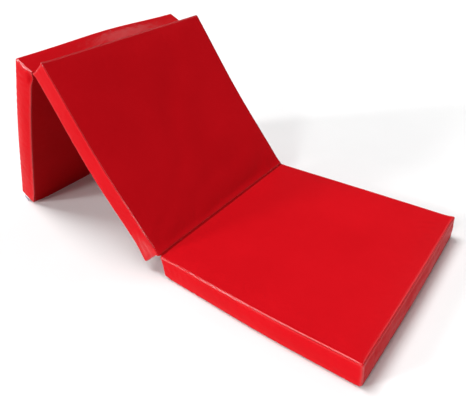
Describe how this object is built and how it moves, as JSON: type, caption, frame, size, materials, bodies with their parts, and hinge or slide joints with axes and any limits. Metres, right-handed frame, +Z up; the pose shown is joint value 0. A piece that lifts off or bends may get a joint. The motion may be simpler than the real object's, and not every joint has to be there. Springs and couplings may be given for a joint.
{
  "type": "folding gym mat",
  "caption": "Folding gym mat of hinged, zipped foam panels in glossy red vinyl covers, half folded so that two panels stand as a tent",
  "frame": {"origin": "centre of the floor panel's underside, where the mat rests", "axes": "+Z up; +X along the unfolded mat, away from the folds; +Y along the fold lines, away from the picture's viewer"},
  "size_m": [1.4471, 0.65, 0.6164],
  "materials": {
    "cover": "gloss",
    "web": "satin",
    "foam": "matte",
    "zip_tape": "matte",
    "zip_coil": "satin",
    "zip_metal": "polished",
    "label": "satin"
  },
  "bodies": {
    "floor_panel": {"floor_foam_core": "foam", "floor_top_sheet": "cover", "floor_base_sheet": "cover", "floor_near_band": "cover", "floor_far_band": "cover", "floor_end_band": "cover", "floor_zip_band_upper": "cover", "floor_zip_band_lower": "cover", "floor_zip_tape": "zip_tape", "floor_zip_coil": "zip_coil", "floor_zip_stops": "zip_metal", "top_hinge_floor_web": "web"},
    "middle_panel": {"middle_foam_core": "foam", "middle_top_sheet": "cover", "middle_base_sheet": "cover", "middle_near_band": "cover", "middle_far_band": "cover", "middle_end_band": "cover", "middle_zip_band_upper": "cover", "middle_zip_band_lower": "cover", "middle_zip_tape": "zip_tape", "middle_zip_coil": "zip_coil", "middle_zip_stops": "zip_metal", "top_hinge_middle_web": "web", "under_hinge_middle_web": "web"},
    "outer_panel": {"outer_foam_core": "foam", "outer_top_sheet": "cover", "outer_base_sheet": "cover", "outer_near_band": "cover", "outer_far_band": "cover", "outer_end_band": "cover", "outer_zip_band_upper": "cover", "outer_zip_band_lower": "cover", "outer_zip_tape": "zip_tape", "outer_zip_coil": "zip_coil", "outer_zip_stops": "zip_metal", "under_hinge_outer_web": "web", "care_label": "label"},
    "floor_slider": {"floor_zip_slider": "zip_metal"},
    "floor_pull": {"floor_zip_pull": "zip_metal"},
    "middle_slider": {"middle_zip_slider": "zip_metal"},
    "middle_pull": {"middle_zip_pull": "zip_metal"},
    "outer_slider": {"outer_zip_slider": "zip_metal"},
    "outer_pull": {"outer_zip_pull": "zip_metal"}
  },
  "joints": [
    {"name": "top_fold", "type": "hinge", "parent": "floor_panel", "child": "middle_panel", "pos_m": [-0.32625, 0, 0.082], "axis": [0, 1, 0], "range_deg": [-56, 124]},
    {"name": "under_fold", "type": "hinge", "parent": "middle_panel", "child": "outer_panel", "pos_m": [-0.76076, 0, 0.57597], "axis": [0, -1, 0], "range_deg": [-119.17, 60.83]},
    {"name": "floor_zip_slide", "type": "slide", "parent": "floor_panel", "child": "floor_slider", "axis": [0, -1, 0], "range_m": [0, 0.59]},
    {"name": "floor_pull_swing", "type": "hinge", "parent": "floor_slider", "child": "floor_pull", "pos_m": [-0.32385, 0.29915, 0.04], "axis": [0, 0, -1], "range_deg": [0, 175]},
    {"name": "middle_zip_slide", "type": "slide", "parent": "middle_panel", "child": "middle_slider", "axis": [0, -1, 0], "range_m": [0, 0.59]},
    {"name": "middle_pull_swing", "type": "hinge", "parent": "middle_slider", "child": "middle_pull", "pos_m": [-0.36241, 0.29915, 0.0605], "axis": [0.829, 0, 0.5592], "range_deg": [0, 175]},
    {"name": "outer_zip_slide", "type": "slide", "parent": "outer_panel", "child": "outer_slider", "axis": [0, -1, 0], "range_m": [0, 0.59]},
    {"name": "outer_pull_swing", "type": "hinge", "parent": "outer_slider", "child": "outer_pull", "pos_m": [-1.09161, 0.29915, 0.01478], "axis": [0.8924, 0, -0.4513], "range_deg": [0, 175]}
  ]
}
